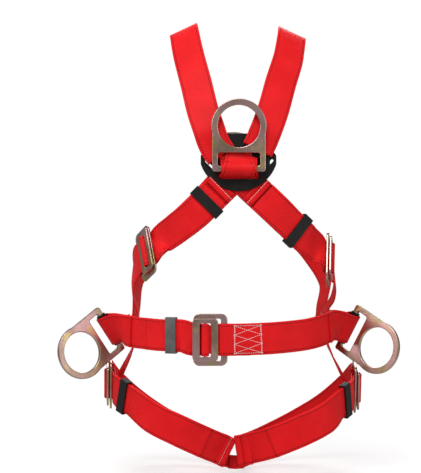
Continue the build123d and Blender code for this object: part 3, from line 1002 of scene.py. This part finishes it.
# --------------------------------------------------------------------------- stitching
class StitchTree:
    """Geometry Nodes that lay stitches along every line of a mesh."""

    SEED = 11

    def __init__(self) -> None:
        tree = bpy.data.node_groups.new("stitches", "GeometryNodeTree")
        self.tree = tree
        face = tree.interface
        face.new_socket("Lines", in_out="INPUT", socket_type="NodeSocketGeometry")
        self.inputs = {
            name: face.new_socket(name, in_out="INPUT", socket_type=kind).identifier
            for name, kind in (
                ("Pitch", "NodeSocketFloat"),
                ("Length", "NodeSocketFloat"),
                ("Radius", "NodeSocketFloat"),
                ("Seed", "NodeSocketInt"),
                ("Material", "NodeSocketMaterial"),
            )
        }
        face.new_socket("Stitches", in_out="OUTPUT", socket_type="NodeSocketGeometry")
        entry = self.add("NodeGroupInput")
        curve = self.add("GeometryNodeMeshToCurve")
        spots = self.add("GeometryNodeCurveToPoints", mode="LENGTH")
        grain = self.add("GeometryNodeMeshUVSphere")
        grain.inputs["Segments"].default_value = 8
        grain.inputs["Rings"].default_value = 5
        chance = self.add("FunctionNodeRandomValue", data_type="FLOAT")
        chance.inputs[2].default_value = 0.88
        chance.inputs[3].default_value = 1.0
        half = self.add("ShaderNodeMath", operation="MULTIPLY")
        varied = self.add("ShaderNodeMath", operation="MULTIPLY")
        scale = self.add("ShaderNodeCombineXYZ")
        copies = self.add("GeometryNodeInstanceOnPoints")
        real = self.add("GeometryNodeRealizeInstances")
        finish = self.add("GeometryNodeSetMaterial")
        leave = self.add("NodeGroupOutput")
        half.inputs[1].default_value = 0.5
        self.join(entry, "Lines", curve, "Mesh")
        self.join(curve, "Curve", spots, "Curve")
        self.join(entry, "Pitch", spots, "Length")
        self.join(entry, "Seed", chance, "Seed")
        self.join(entry, "Length", half, 0)
        self.join(half, 0, varied, 0)
        self.join(chance, 1, varied, 1)
        self.join(entry, "Radius", scale, "X")
        self.join(entry, "Radius", scale, "Y")
        self.join(varied, 0, scale, "Z")
        self.join(spots, "Points", copies, "Points")
        self.join(grain, "Mesh", copies, "Instance")
        self.join(spots, "Rotation", copies, "Rotation")
        self.join(scale, 0, copies, "Scale")
        self.join(copies, "Instances", real, "Geometry")
        self.join(real, "Geometry", finish, "Geometry")
        self.join(entry, "Material", finish, "Material")
        self.join(finish, "Geometry", leave, "Stitches")

    def add(self, kind: str, **settings: object) -> bpy.types.Node:
        """Add a node."""
        made = self.tree.nodes.new(kind)
        for setting, value in settings.items():
            setattr(made, setting, value)
        return made

    def join(self, source: bpy.types.Node, output: object, target: bpy.types.Node, entry: object) -> None:
        """Link an output to an input, each by name or number."""
        self.tree.links.new(source.outputs[output], target.inputs[entry])

    def sew(self, obj: bpy.types.Object, values: dict[str, object]) -> None:
        """Run the tree on an object and keep only the mesh that it makes."""
        modifier = obj.modifiers.new("stitches", "NODES")
        modifier.node_group = self.tree
        for name, value in {"Seed": self.SEED, **values}.items():
            modifier[self.inputs[name]] = value
        graph = bpy.context.evaluated_depsgraph_get()
        mesh = bpy.data.meshes.new_from_object(obj.evaluated_get(graph), depsgraph=graph)
        obj.modifiers.clear()
        obj.data = mesh


@dataclass(frozen=True)
class Thread:
    """Sizes of a stitched line.

    Args:
        pitch: distance between stitches.
        length: length of one stitch.
        radius: radius of the thread.
        box_inset: how far a sewn box stays inside the webbing's edges.
        double_gap: distance between a box's doubled end lines.
    """

    pitch: float = 2.9 * MM
    length: float = 2.5 * MM
    radius: float = 0.36 * MM
    box_inset: float = 3.2 * MM
    double_gap: float = 0.8 * MM


class Stitcher:
    """Collects stitched lines on ribbons and sews them."""

    def __init__(self, tree: StitchTree, material: bpy.types.Material, thread: Thread) -> None:
        self.tree = tree
        self.material = material
        self.thread = thread

    def line(self, ribbon: Ribbon, ends: Sequence[tuple[float, float]], side: int) -> list[Vector]:
        """Lay a line on a ribbon through points of run and distance across."""
        points: list[Vector] = []
        for (run, across), (next_run, next_across) in zip(ends, ends[1:]):
            steps = max(2, round(math.hypot(next_run - run, next_across - across) / (2 * MM)))
            for step in range(steps):
                t = step / steps
                here = run + (next_run - run) * t
                where = across + (next_across - across) * t
                points.append(ribbon.face_point(here, where, side, 0.1 * MM).point)
        points.append(ribbon.face_point(*ends[-1], side, 0.1 * MM).point)
        return points

    def sew(self, name: str, lines: Sequence[Sequence[Vector]]) -> bpy.types.Object:
        """Make one piece of all the stitches on some lines."""
        points: list[Vector] = []
        edges: list[tuple[int, int]] = []
        for one in lines:
            start = len(points)
            points += one
            edges += [(start + index, start + index + 1) for index in range(len(one) - 1)]
        mesh = bpy.data.meshes.new(name)
        mesh.from_pydata([tuple(point) for point in points], edges, [])
        obj = bpy.data.objects.new(name, mesh)
        bpy.context.scene.collection.objects.link(obj)
        self.tree.sew(
            obj,
            {
                "Pitch": self.thread.pitch,
                "Length": self.thread.length,
                "Radius": self.thread.radius,
                "Material": self.material,
            },
        )
        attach(obj, FIXED_BODY)
        return obj

    def box_cross(self, ribbon: Ribbon, start: float, length: float, side: int = 1) -> list[list[Vector]]:
        """Lay out a sewn box with three crosses side by side in it.

        Args:
            ribbon: the ribbon that it is sewn on.
            start: run of its first edge.
            length: its length along the webbing.
            side: the face that it shows on.

        Returns:
            Its lines.
        """
        half = WEBBING.width / 2 - self.thread.box_inset
        end = start + length
        lines = [self.line(ribbon, [(start, across), (end, across)], side) for across in (-half, half)]
        for edge, back in ((start, 1), (end, -1)):
            for shift in (0.0, back * self.thread.double_gap):
                lines.append(self.line(ribbon, [(edge + shift, -half), (edge + shift, half)], side))
        third = 2 * half / 3
        for number in range(3):
            low = -half + number * third
            lines.append(self.line(ribbon, [(start, low), (end, low + third)], side))
            lines.append(self.line(ribbon, [(start, low + third), (end, low)], side))
        return lines

    def across(self, ribbon: Ribbon, run: float, low: float, high: float, side: int = 1) -> list[Vector]:
        """Lay one line across a ribbon."""
        return self.line(ribbon, [(run, low), (run, high)], side)


# --------------------------------------------------------------------------- the harness
def run_at(ribbon: Ribbon, point: Vector, facing: Optional[Vector] = None) -> float:
    """Give the run of the section nearest to a point, on the layer that faces a way."""
    candidates = [
        one for one in ribbon.sections if facing is None or one.outward.dot(facing) > 0.5
    ]
    return min(candidates, key=lambda one: (one.middle - point).length).run


@dataclass
class SubAssembly:
    """A group of pieces that are made and dressed together.

    Args:
        finishes: the materials.
        stitcher: what sews the lines of thread.
    """

    finishes: Finishes
    stitcher: Stitcher

    def strap(self, name: str, route: Route, *nodes: str, **sizes: float) -> Ribbon:
        """Make a strap.

        Args:
            name: the piece's name.
            route: its stations.
            nodes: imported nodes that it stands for.
            sizes: the ribbon's sizes, where they aren't the usual ones.

        Returns:
            The ribbon.
        """
        ribbon = Ribbon(name, route, nodes, **sizes)
        ribbon.build(self.finishes.webbing)
        LOG.info("%s: %.0f mm of webbing", name, ribbon.length / MM)
        return ribbon

    def dress(self, material: bpy.types.Material, *nodes: str) -> None:
        """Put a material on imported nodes."""
        for node in nodes:
            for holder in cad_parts[node].material_slots:
                holder.material = material
            LOG.info("%s: %s", node, material.name)


@dataclass
class Crossing(SubAssembly):
    """A plate and ring where two straps cross, on the chest or between the shoulders.

    Args:
        label: chest or dorsal.
        seat: the ring's seat.
        drift: how far each strap drifts to its side on its way round the ring's bar.
        reach: how far above the bar the straps come from behind.
    """

    label: str
    seat: Place
    drift: float = 4.6 * MM
    reach: float = 21 * MM

    def build(self) -> None:
        """Make the straps and dress the plate and ring."""
        lift = WEBBING.thickness + 0.2 * MM
        self.strap(
            f"{self.label}_crossing_under",
            wrapped(self.seat, self.reach, 0.0, self.drift),
            f"{self.label}_crossing_webbing",
            spacing=1.6 * MM,
        )
        self.strap(
            f"{self.label}_crossing_over",
            wrapped(self.seat, self.reach, lift, -self.drift),
            spacing=1.6 * MM,
        )
        self.dress(self.finishes.plastic, f"{self.label}_plate")
        self.dress(self.finishes.zinc, f"{self.label}_ring")


@dataclass
class TorsoSide(SubAssembly):
    """One side's shoulder, chest, side and back straps, with the buckle and keeper.

    Args:
        side: left or right.
        shoulder: the shoulder strap's route.
        chest: the chest strap's route.
        flank: the side strap's route.
        back: the back strap's route.
        buckle: the buckle's place.
        hidden: how many stations of the chest and back routes lie behind the plates.
        doubled: how far the side strap's end is doubled back.
        stub_width: width of the short layer sewn on by the plate.
        stub_length: its length.
        stub_stitch: how far before its ridge it is stitched.
    """

    side: str
    shoulder: Route
    chest: Route
    flank: Route
    back: Route
    buckle: Place
    hidden: int
    doubled: float = 4 * MM
    stub_width: float = 44 * MM
    stub_length: float = 13 * MM
    stub_stitch: float = 6 * MM

    def add_stub(self, name: str, path: Route) -> None:
        """Sew a short layer on a strap by the plate, with a rounded ridge at its end.

        Args:
            name: start of the names of its pieces.
            path: the strap's route from the plate.
        """
        first, second = laid_on(path[:2])
        travel = (second.point - first.point).normalized()
        end = Station(first.point + travel * self.stub_length, first.facing)
        stub = self.strap(f"{name}_stub", folded_end([first, end], self.stub_stitch), width=self.stub_width)
        half = self.stub_width / 2 - 2 * MM
        line = self.stitcher.across(stub, stub.length - 1.2 * MM, -half, half, -1)
        self.stitcher.sew(f"{name}_stitches", [line])

    def build(self) -> None:
        """Make the straps and dress the buckle and keeper."""
        side = self.side
        self.strap(f"{side}_shoulder_web", self.shoulder, f"{side}_shoulder_strap")
        hidden = self.hidden
        chest = adjusted(self.chest, self.buckle, hidden + 1)
        self.strap(f"{side}_chest_web", chest, f"{side}_chest_strap")
        self.add_stub(f"{side}_chest", self.chest[hidden:])
        self.add_stub(f"{side}_back", self.back[hidden:])
        flank = self.strap(
            f"{side}_side_web",
            fixed(back_along(self.flank), self.buckle, self.doubled),
            f"{side}_side_strap",
        )
        half = flank.width / 2 - self.stitcher.thread.box_inset
        lines = []
        for seam in (self.flank[2], self.flank[4]):
            run = run_at(flank, seam.point)
            lines += [self.stitcher.across(flank, run, -half, half, face) for face in (-1, 1)]
        self.stitcher.sew(f"{side}_side_stitches", lines)
        self.strap(f"{side}_back_web", self.back, f"{side}_back_strap")
        self.dress(self.finishes.zinc, f"{side}_torso_buckle_female", f"{side}_torso_buckle_male")
        self.dress(self.finishes.plastic, f"{side}_torso_keeper")


@dataclass
class SideRing(SubAssembly):
    """A side ring in its sleeve and loop.

    Args:
        side: left or right.
        bar: the ring's bar.
        landing: where the loop's ends are sewn to the belt.
    """

    side: str
    bar: Place
    landing: Route

    def build(self) -> None:
        """Make the loop and dress the ring and sleeve."""
        side = self.side
        self.strap(f"{side}_ring_web", ring_loop(self.bar, self.landing), f"{side}_ring_loop", spacing=2.2 * MM)
        self.dress(self.finishes.zinc, f"{side}_side_ring")
        self.dress(self.finishes.plastic, f"{side}_ring_sleeve")


@dataclass
class Belt(SubAssembly):
    """The waist belt with its buckle and keeper.

    Args:
        doubled: how far the right half's end is doubled back.
        box_start: x of the sewn box's end away from the buckle.
        box_length: length of the sewn box.
    """

    doubled: float = 24 * MM
    box_start: float = 34 * MM
    box_length: float = 39 * MM

    def build(self) -> None:
        """Make the belt's three lengths and dress its buckle and keeper."""
        self.strap("belt_left_web", adjusted(BELT_LEFT, BELT_BUCKLE, 2), "belt_left")
        right = self.strap("belt_right_web", fixed(BELT_RIGHT, BELT_BUCKLE, self.doubled), "belt_right")
        start = run_at(right, Vector((self.box_start, -0.12, 0)), Vector((0, -1, 0)))
        self.stitcher.sew("belt_box_stitches", self.stitcher.box_cross(right, start, self.box_length))
        self.strap("belt_back_web", BELT_BACK, "belt_back")
        self.dress(self.finishes.zinc, "belt_buckle_female", "belt_buckle_male")
        self.dress(self.finishes.keeper, "belt_keeper")


@dataclass
class LegLoop(SubAssembly):
    """One leg's straps with the buckle and keeper.

    Args:
        side: left or right.
        front: the front strap's route.
        thigh: the route behind the thigh.
        inner: the route between the legs that closes the loop.
        buckle: the buckle's place.
        doubled: how far the thigh strap's end is doubled back.
        seam: how far from its ends the inner length is sewn.
    """

    side: str
    front: Route
    thigh: Route
    inner: Route
    buckle: Place
    doubled: float = 4 * MM
    seam: float = 8 * MM

    def build(self) -> None:
        """Make the straps and dress the buckle and keeper."""
        side = self.side
        self.strap(f"{side}_leg_web", adjusted(self.front, self.buckle, 1), f"{side}_leg_strap")
        self.strap(
            f"{side}_thigh_web",
            fixed(back_along(self.thigh), self.buckle, self.doubled),
            f"{side}_thigh_strap",
        )
        inner = self.strap(f"{side}_inner_web", self.inner)
        half = inner.width / 2 - self.stitcher.thread.box_inset
        runs = (self.seam, inner.length - self.seam)
        lines = [self.stitcher.across(inner, run, -half, half, face) for run in runs for face in (-1, 1)]
        self.stitcher.sew(f"{side}_inner_stitches", lines)
        self.dress(self.finishes.zinc, f"{side}_leg_buckle_female", f"{side}_leg_buckle_male")
        self.dress(self.finishes.plastic, f"{side}_leg_keeper")


@dataclass
class Crotch(SubAssembly):
    """The short link between the leg loops and the folds that it is sewn to.

    Args:
        link_width: width of the link.
        link_drop: how far it hangs below the leg straps' middle.
        fold: how far the folded ends reach back.
    """

    link_width: float = 20 * MM
    link_drop: float = 12 * MM
    fold: float = 6 * MM

    def build(self) -> None:
        """Make the link, the two folds and the left one's line of stitches."""
        down = Vector((0, 0, -self.link_drop))
        link = [Station(one.point + down, one.facing) for one in CROTCH_LINK]
        self.strap("crotch_web", link, "crotch_link", width=self.link_width)
        left = self.strap("left_crotch_fold", self.folded(LEFT_LEG, Vector((-11, -57, -167)) * MM))
        self.strap("right_crotch_fold", self.folded(RIGHT_LEG, Vector((2, -58, -164)) * MM))
        half = left.width / 2 - self.stitcher.thread.box_inset
        start = left.length - 2 * self.fold
        self.stitcher.sew("crotch_stitches", [self.stitcher.across(left, start - self.fold, -half, half)])

    def folded(self, leg: Route, end: Vector) -> Route:
        """Give the route of a second layer that runs past a leg strap's end and folds back."""
        first = laid_on(leg[:1])[0]
        second = Station(end + leg[0].facing * WEBBING.pitch, leg[0].facing)
        start = Station(first.point + (first.point - second.point).normalized() * self.fold, first.facing)
        return folded_end([start, first, second], self.fold)


# --------------------------------------------------------------------------- the studio
@dataclass(frozen=True)
class Light:
    """A soft rectangular light.

    Args:
        name: its name.
        place: where it hangs.
        aim: what it points at.
        size: the length of its sides.
        watts: its power.
    """

    name: str
    place: Sequence[float]
    aim: Sequence[float]
    size: float
    watts: float

    def build(self) -> None:
        """Make the light."""
        lamp = bpy.data.lights.new(self.name, "AREA")
        lamp.shape = "SQUARE"
        lamp.size = self.size
        lamp.energy = self.watts
        obj = bpy.data.objects.new(self.name, lamp)
        obj.location = self.place
        obj.rotation_euler = (Vector(self.aim) - Vector(self.place)).to_track_quat("-Z", "Y").to_euler()
        bpy.context.scene.collection.objects.link(obj)


@dataclass(frozen=True)
class Studio:
    """A pale floor, soft lights and the camera.

    Args:
        floor_size: side of the floor.
        floor_gap: how far the floor lies under the harness.
        floor_fade: share of its half side where it starts to fade into the backdrop.
        floor_body: how much it hides of the backdrop in the middle.
        camera_place: where the camera stands.
        camera_aim: what it looks at.
        lens: its focal length on a 36 mm sensor, in mm.
        backdrop: brightness of the white backdrop.
        glow: brightness of the light that it gives.
    """

    floor_size: float = 5.0
    floor_gap: float = 4 * MM
    floor_fade: float = 0.12
    floor_body: float = 0.40
    camera_place: Sequence[float] = (-0.110, -2.097, 0.145)
    camera_aim: Sequence[float] = (-0.0349, 0.0018, 0.145)
    lens: float = 107.6
    backdrop: float = 1.0
    glow: float = 0.32

    def build(self, lowest: float) -> None:
        """Make everything around the harness.

        Args:
            lowest: the harness's lowest height.
        """
        self.lay_floor(lowest - self.floor_gap)
        self.stand_camera()
        self.fill_air()
        middle = (0.0, 0.0, 0.14)
        Light("key_light", (-0.6, -1.7, 2.4), middle, 1.5, 66.0).build()
        Light("fill_light", (1.9, -1.9, 0.7), middle, 1.2, 16.0).build()
        Light("side_light", (-2.2, -0.8, 0.9), middle, 1.0, 14.0).build()
        Light("back_light", (0.4, 2.2, 1.9), middle, 1.6, 50.0).build()

    def lay_floor(self, height: float) -> None:
        """Make the floor."""
        half = self.floor_size / 2
        corners = [(-half, -half, height), (half, -half, height), (half, half, height), (-half, half, height)]
        mesh = bpy.data.meshes.new("floor")
        mesh.from_pydata(corners, [], [(0, 1, 2, 3)])
        paint = Shading("pale_floor", Roughness=0.9, Specular_IOR_Level=0.1)
        paint.drive("Base Color", paint.mixed(paint.clouds(1.5), (0.90, 0.90, 0.90), (0.94, 0.94, 0.94)))
        distance = paint.place().node("ShaderNodeVectorMath", {0: paint.place()}, operation="LENGTH")
        reach = Signal(paint.tree, distance.outputs["Value"])
        paint.drive("Alpha", (1 - (reach / half).ramp(self.floor_fade, 1.0)) * self.floor_body)
        mesh.materials.append(paint.material)
        obj = bpy.data.objects.new("floor", mesh)
        bpy.context.scene.collection.objects.link(obj)
        obj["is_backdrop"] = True

    def stand_camera(self) -> None:
        """Make the camera."""
        camera = bpy.data.cameras.new("camera")
        camera.lens = self.lens
        camera.sensor_width = 36.0
        obj = bpy.data.objects.new("camera", camera)
        obj.location = self.camera_place
        gaze = Vector(self.camera_aim) - Vector(self.camera_place)
        obj.rotation_euler = gaze.to_track_quat("-Z", "Y").to_euler()
        bpy.context.scene.collection.objects.link(obj)
        bpy.context.scene.camera = obj

    def fill_air(self) -> None:
        """Surround everything with a white backdrop that gives a softer light."""
        world = bpy.data.worlds.new("white_air")
        world.use_nodes = True
        tree = world.node_tree
        tree.nodes["Background"].inputs["Color"].default_value = (1.0, 1.0, 1.0, 1.0)
        seen = Signal(tree, tree.nodes.new("ShaderNodeLightPath").outputs["Is Camera Ray"])
        strength = seen * (self.backdrop - self.glow) + self.glow
        tree.links.new(strength.socket, tree.nodes["Background"].inputs["Strength"])
        bpy.context.scene.world = world
        bpy.context.scene.view_settings.view_transform = "Standard"


# --------------------------------------------------------------------------- main
def main() -> None:
    logging.basicConfig(level=logging.INFO, format="%(name)s %(message)s")
    cad_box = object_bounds()
    finishes = Finishes.make()
    stitcher = Stitcher(StitchTree(), finishes.thread, Thread())
    shared = (finishes, stitcher)
    pieces: list[SubAssembly] = [
        Crossing(*shared, "chest", CHEST_SEAT),
        Crossing(*shared, "dorsal", DORSAL_SEAT),
        TorsoSide(*shared, "left", LEFT_SHOULDER, LEFT_CHEST, LEFT_SIDE, LEFT_BACK, LEFT_TORSO_BUCKLE, 1),
        TorsoSide(*shared, "right", RIGHT_SHOULDER, RIGHT_CHEST, RIGHT_SIDE, RIGHT_BACK, RIGHT_TORSO_BUCKLE, 2),
        SideRing(*shared, "left", LEFT_RING, LEFT_LANDING),
        SideRing(*shared, "right", RIGHT_RING, RIGHT_LANDING),
        Belt(*shared),
        LegLoop(*shared, "left", LEFT_LEG, LEFT_THIGH, LEFT_INNER, LEFT_LEG_BUCKLE),
        LegLoop(*shared, "right", RIGHT_LEG, RIGHT_THIGH, RIGHT_INNER, RIGHT_LEG_BUCKLE),
        Crotch(*shared),
    ]
    for piece in pieces:
        piece.build()
    Studio().build(cad_box[0][2])


if __name__ == "__main__":
    main()
